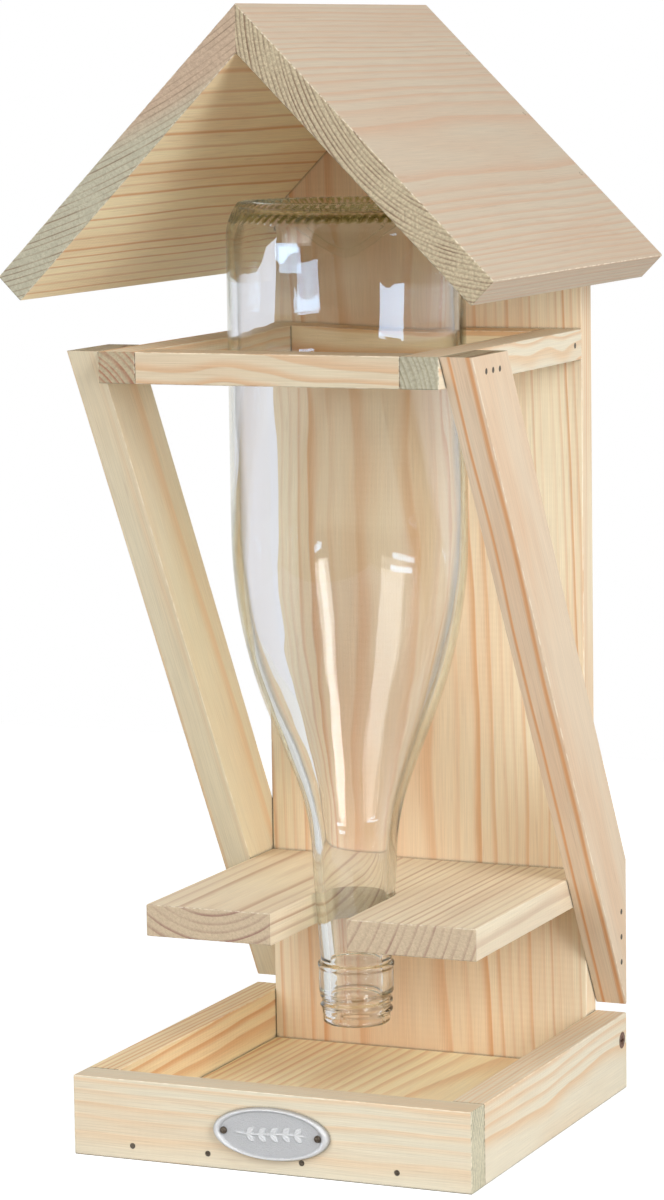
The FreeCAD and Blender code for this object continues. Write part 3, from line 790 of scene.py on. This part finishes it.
def bottle_rings(points, outside, angle):
    """Turns a profile round the axis; adds the screw thread and the knurled heel to the outside.

    The inside wavers slowly by up to a third of a millimetre, as blown glass does: the sum of a sine with
    two waves round the axis and one with three, both climbing along it.
    """
    radius = np.repeat(points[:, :1], AROUND, axis=1)
    height = np.repeat(points[:, 1:], AROUND, axis=1)
    turn = np.repeat(angle[None, :] / (2 * math.pi), len(points), axis=0)
    if outside:
        on_finish = window(height, LIP_HEIGHT - 0.2, BAND_LOW - 0.6, 0.4)
        radius = radius + thread_height(height, turn) * on_finish
        below = HEIGHT - height
        on_rows = sum(window(below, start, end, 0.8) for start, end in KNURL_ROWS)
        on_edge = window(radius, KNURL_LOW_RADIUS, RADIUS, 1.0) * on_rows
        slant = (radius - KNURL_LOW_RADIUS + below) / KNURL_LEAN
        bite = KNURL_RISE * on_edge * (0.5 - 0.5 * np.cos(2 * math.pi * (KNURLS * turn + slant)))
        radius = radius - KNURL_SHIFT * bite
        height = height - KNURL_SHIFT * bite
    else:
        on_wall = window(height, 90, 250, 30)
        broad = np.sin(2 * math.pi * (2 * turn + height / 170))
        narrow = np.sin(2 * math.pi * (3 * turn - height / 95))
        radius = radius + WAVER * on_wall * (broad + 0.6 * narrow)
    return np.stack([radius * np.cos(angle), radius * np.sin(angle), height], axis=-1)


def make_bottle(material):
    """Closed hollow glass: outside and inside profiles turned round the upright axis of the CAD bottle."""
    low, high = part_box("bottle")
    angle = np.linspace(0, 2 * math.pi, AROUND, endpoint=False)
    outside = bottle_rings(even_rows(outer_profile(), 1.0), True, angle)
    inside = bottle_rings(even_rows(inner_profile(), INSIDE_FINENESS), False, angle)
    rings = np.concatenate([outside, inside[1:]]) * MM
    middle = (low + high) / 2
    rings = rings + np.array((middle.x, middle.y, low.z))
    piece = ring_object("clear_bottle", rings, material)
    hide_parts("bottle")
    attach(piece, "bottle")


# Cast plate: an oval on a polar grid, with a rounded rim and a sprig of leaves

PLATE_AROUND = 320
PLATE_ROWS = 80
PLATE_FIELD = 1.4
PLATE_RIM = 0.9
RIM_SHARE = 0.13
LEAF_LENGTH = 3.6
LEAF_WIDTH = 1.15
LEAF_RISE = 0.5
STEM_WIDTH = 0.35
STEM_RISE = 0.4
STEM_SWAY = 0.5
STEM_WAVE = 5.0
STEM_ENDS = (-12.0, 11.5)
LEAF_PLACES = (-9.0, -4.5, 0.0, 4.5, 9.0)
LEAF_TILT = math.radians(42)


def leaf(x, z, base_x, side):
    """Pointed leaf: its half width goes with the sine along its length, and a groove marks the midrib."""
    tilt = LEAF_TILT * side
    forward = (x - base_x) * math.cos(tilt) + z * math.sin(tilt)
    sideways = z * math.cos(tilt) - (x - base_x) * math.sin(tilt)
    share = np.clip(forward / LEAF_LENGTH, 0, 1)
    half_width = LEAF_WIDTH * np.sin(math.pi * share) ** 0.8 + 1e-6
    swell = np.clip(1 - (sideways / half_width) ** 2, 0, 1)
    groove = 0.35 * np.exp(-(sideways / 0.18) ** 2)
    return LEAF_RISE * np.sqrt(swell) * (1 - groove)


def sprig(x, z):
    """A lying stem along a sine, bell-shaped across, with a leaf to each side at even steps."""
    from_stem = z - STEM_SWAY * np.sin(x / STEM_WAVE)
    relief = STEM_RISE * np.exp(-(from_stem / STEM_WIDTH) ** 2) * window(x, *STEM_ENDS, 2.0)
    for base_x in LEAF_PLACES:
        base_z = STEM_SWAY * math.sin(base_x / STEM_WAVE)
        for side in (-1, 1):
            relief = np.maximum(relief, leaf(x, z - base_z, base_x, side))
    return relief


def make_plate(material):
    """Polar grid over the CAD plate's oval: field, relief, half-round rim, edge wall and flat back."""
    low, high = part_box("badge")
    middle = (low + high) / 2
    half_width = (high.x - low.x) / 2 / MM
    half_height = (high.z - low.z) / 2 / MM
    angle = np.linspace(0, 2 * math.pi, PLATE_AROUND, endpoint=False)
    share = np.linspace(0, 1, PLATE_ROWS)[:, None]
    x = half_width * share * np.cos(angle)
    z = half_height * share * np.sin(angle)
    on_rim = np.clip((share - 1 + RIM_SHARE) / RIM_SHARE, 0, 1)
    rim = PLATE_RIM * np.sin(math.pi * on_rim) ** 0.7
    relief = sprig(x, z) * window(share, -1, 1 - 1.5 * RIM_SHARE, 0.05)
    proud = np.broadcast_to(np.maximum(rim / PLATE_RIM, relief / LEAF_RISE), x.shape)
    front = np.stack([x, -(PLATE_FIELD + rim + relief), z], axis=-1)
    edge = front[-1:] * np.array((1, 0, 1))
    rings = np.concatenate([front, edge, edge * np.array((0, 0, 0))])
    rings = rings * MM + np.array((middle.x, high.y, middle.z))
    piece = ring_object("oval_plate", rings, material)
    field = piece.data.attributes.new(PROUD, "FLOAT", "POINT")
    edge_count = len(piece.data.vertices) - (PLATE_ROWS - 1) * PLATE_AROUND
    field.data.foreach_set("value", np.concatenate([proud[1:].ravel(), np.zeros(edge_count)]))
    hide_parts("badge")
    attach(piece, "feeder")


# Stage

WHITE = (1.0, 1.0, 1.0, 1.0)
FLOOR_HALF = 0.75
FLOOR_WHITE = 0.72
FILL_LIGHT = 0.27
ROOM_DIM = (0.22, 0.18, 0.12, 1.0)
GROUND_WARM = (0.84, 0.80, 0.64, 1.0)
BACKDROP_SHADE = (0.80, 0.80, 0.86, 1.0)
FLOOR_SHADE = 0.48
FLOOR_MIRRORED = 0.38
FLOOR_TONES = ((0.61, 0.61, 0.61, 1.0), (0.63, 0.63, 0.63, 1.0))
FRONT_FADE = (-0.65, -0.1)
LEVEL_FADE = (-0.085, -0.07)
PLAIN_LIGHT = (1.0, 1.0, 1.0)
WINDOW_BLUE = (0.5, 0.72, 1.0)


def white_seen(wiring):
    """Three shares of rays: those that see the ground, those through glass, and those once mirrored."""
    ray = wiring.node("ShaderNodeLightPath").outputs
    through = ray["Is Transmission Ray"]
    shiny = wiring.math("MAXIMUM", ray["Is Glossy Ray"], through)
    seen = wiring.math("MAXIMUM", ray["Is Camera Ray"], shiny)
    return seen, through, wiring.math("MINIMUM", ray["Glossy Depth"], 1.0)


def make_floor():
    """Pale floor: part of its white is its own, so that a soft shadow stays on a white ground."""
    corners = np.array([(-1, -1, 0), (1, -1, 0), (1, 1, 0), (-1, 1, 0)]) * FLOOR_HALF
    mesh = bpy.data.meshes.new("floor")
    mesh.from_pydata(corners.tolist(), [], [(0, 1, 2, 3)])
    floor = bpy.data.objects.new("floor", mesh)
    bpy.context.scene.collection.objects.link(floor)
    material, wiring, shader = surface_material("pale floor")
    speck = wiring.noise(wiring.scaled(object_place(wiring), 0.02))[0]
    wiring.feed(shader["Base Color"], wiring.blend(speck, *FLOOR_TONES))
    shader["Roughness"].default_value = 0.9
    shader["Specular IOR Level"].default_value = 0.1
    shader["Emission Color"].default_value = WHITE
    seen, through, mirrored = white_seen(wiring)
    unmirrored = wiring.between(through, FLOOR_WHITE, FLOOR_SHADE)
    own_white = wiring.between(mirrored, unmirrored, FLOOR_MIRRORED)
    wiring.feed(shader["Emission Strength"], wiring.times(seen, own_white))
    mesh.materials.append(material)


def make_world():
    """White where it is seen, soft grey where it only lights.

    Shiny surfaces mirror what lies in front instead: a dim room, and below it a paler, warmer ground.
    """
    world = bpy.data.worlds.new("studio")
    world.use_nodes = True
    bpy.context.scene.world = world
    wiring = Wiring(world.node_tree)
    sky = world.node_tree.nodes["Background"].inputs
    _, depth, height = wiring.split(wiring.node("ShaderNodeTexCoord").outputs["Generated"])
    seen, through, mirrored = white_seen(wiring)
    in_front = wiring.times(mirrored, wiring.step(depth, *FRONT_FADE, 1.0, 0.0))
    backdrop = wiring.blend(through, WHITE, BACKDROP_SHADE)
    room = wiring.blend(wiring.step(height, *LEVEL_FADE), GROUND_WARM, ROOM_DIM)
    wiring.feed(sky["Color"], wiring.blend(in_front, backdrop, room))
    wiring.feed(sky["Strength"], wiring.between(seen, FILL_LIGHT, 1.0))


def softbox(name, azimuth, elevation, distance, width, height, power, mirrored=True, tint=PLAIN_LIGHT):
    """A rectangle of light aimed at the middle of the feeder; azimuth 0 is in front, 90 on the right.

    One that is not mirrored lights the wood but leaves no image of itself in the glass.
    """
    lamp = bpy.data.lights.new(name, "AREA")
    lamp.shape = "RECTANGLE"
    lamp.size = width
    lamp.size_y = height
    lamp.energy = power
    lamp.color = tint
    turn = math.radians(azimuth)
    lift = math.radians(elevation)
    towards = Vector((math.sin(turn) * math.cos(lift), -math.cos(turn) * math.cos(lift), math.sin(lift)))
    box = bpy.data.objects.new(name, lamp)
    middle = (cad_low + cad_high) / 2
    box.location = middle + towards * distance
    box.rotation_euler = towards.to_track_quat("Z", "Y").to_euler()
    box.visible_glossy = mirrored
    box.visible_transmission = mirrored
    bpy.context.scene.collection.objects.link(box)


FRAME_HEIGHT_PX = 1200
FOCAL_PX = 4133.7
SENSOR_MM = 36.0
CAMERA_AIM = Vector((-0.010563, 0.013, 0.187748))
CAMERA_DISTANCE = 1.477226
CAMERA_YAW = math.radians(23.738)
CAMERA_DIP = math.radians(7.6)
CAMERA_ROLL = math.radians(-0.881)


def make_camera():
    """Camera fitted to the corners of the boards: it looks at the aim point, turned, dipped and rolled."""
    data = bpy.data.cameras.new("camera")
    data.sensor_fit = "VERTICAL"
    data.sensor_height = SENSOR_MM
    data.lens = FOCAL_PX / FRAME_HEIGHT_PX * SENSOR_MM
    camera = bpy.data.objects.new("camera", data)
    yaw = Matrix.Rotation(CAMERA_YAW, 4, "Z")
    pitch = Matrix.Rotation(QUARTER - CAMERA_DIP, 4, "X")
    roll = Matrix.Rotation(CAMERA_ROLL, 4, "Z")
    back_off = Matrix.Translation((0, 0, CAMERA_DISTANCE))
    camera.matrix_world = Matrix.Translation(CAMERA_AIM) @ yaw @ pitch @ roll @ back_off
    bpy.context.scene.collection.objects.link(camera)
    bpy.context.scene.camera = camera


grain_tree = pine_group()
for seed, (node, board) in enumerate(BOARDS.items()):
    dress_board(node, seed, grain_tree, {**PLAIN_BOARD, **board})
zinc = nail_material("dull zinc", shade(70, 60, 50), shade(112, 102, 90))
rust = nail_material("rusty steel", shade(104, 74, 58), shade(150, 116, 98))
for name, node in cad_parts.items():
    if name.endswith(("nails", "badge_pins")):
        node.material_slots[0].material = zinc
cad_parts["tray_screws"].material_slots[0].material = rust
roof_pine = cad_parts["roof_right"].material_slots[0].material
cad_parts["roof_pins"].material_slots[0].material = roof_pine
make_bottle(glass_material())
make_plate(cast_material())
make_floor()
make_world()
softbox("softbox_left", -25, 28, 1.8, 1.0, 1.75, 18)
softbox("softbox_right", 70, 22, 1.8, 0.6, 1.1, 5, mirrored=False)
softbox("strip_right", 58, 22, 1.8, 0.65, 1.3, 20)
softbox("softbox_side", 115, 0, 1.8, 0.9, 0.9, 2.5, mirrored=False)
softbox("softbox_front", 10, 12, 2.2, 1.4, 0.5, 2.5, mirrored=False)
softbox("pane_left", -35, 1.5, 1.8, 0.8, 0.04, 1.6, tint=WINDOW_BLUE)
softbox("pane_right", 67, -0.8, 1.8, 0.8, 0.055, 2.1, tint=WINDOW_BLUE)
make_camera()
bpy.context.scene.view_settings.view_transform = "Standard"
